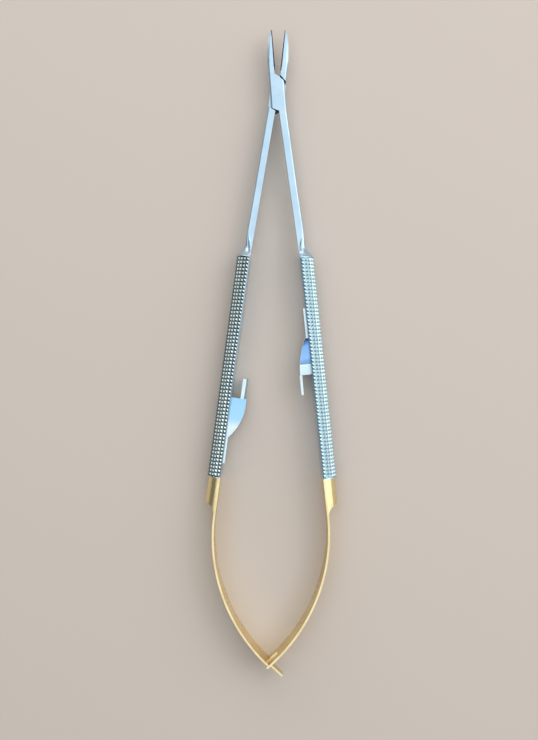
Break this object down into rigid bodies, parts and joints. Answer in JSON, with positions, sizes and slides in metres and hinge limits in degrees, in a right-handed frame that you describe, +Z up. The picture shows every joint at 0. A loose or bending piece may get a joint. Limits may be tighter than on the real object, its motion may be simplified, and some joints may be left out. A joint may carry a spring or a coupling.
{
  "type": "surgical needle holder",
  "caption": "Slender spring-handled needle holder with fine lapped jaws, knurled half-round handles, gold bowed leaf springs crossed at the tail and a snap catch between the handles.",
  "frame": {"origin": "middle of the lowest face of the instrument's box, lying on its side with the jaws open", "axes": "+Y from the tail to the jaws, +Z up from the surface it lies on, along the jaw pivot, +X towards the right handle"},
  "size_m": [0.037, 0.1796, 0.008],
  "materials": {
    "steel": "satin",
    "gold": "polished gold plate",
    "carbide": "fine ground",
    "spring_steel": "polished"
  },
  "bodies": {
    "upper_half": {"branch_upper": "steel", "jaw_insert_left": "carbide", "pivot_pin": "steel", "tail_spring_right": "gold", "catch_right": "spring_steel", "catch_rivet_right_1": "spring_steel", "catch_rivet_right_2": "spring_steel"},
    "lower_half": {"branch_lower": "steel", "jaw_insert_right": "carbide", "tail_spring_left": "gold", "catch_left": "spring_steel", "catch_rivet_left_1": "spring_steel", "catch_rivet_left_2": "spring_steel"}
  },
  "joints": [
    {"name": "jaw_pivot", "type": "hinge", "parent": "upper_half", "child": "lower_half", "pos_m": [0, 0.0719, 0.004], "axis": [0, 0, 1], "range_deg": [0, 11.4], "stiffness_Nm_per_rad": 1, "deforming": ["tail_spring_right", "tail_spring_left", "catch_right"]}
  ]
}
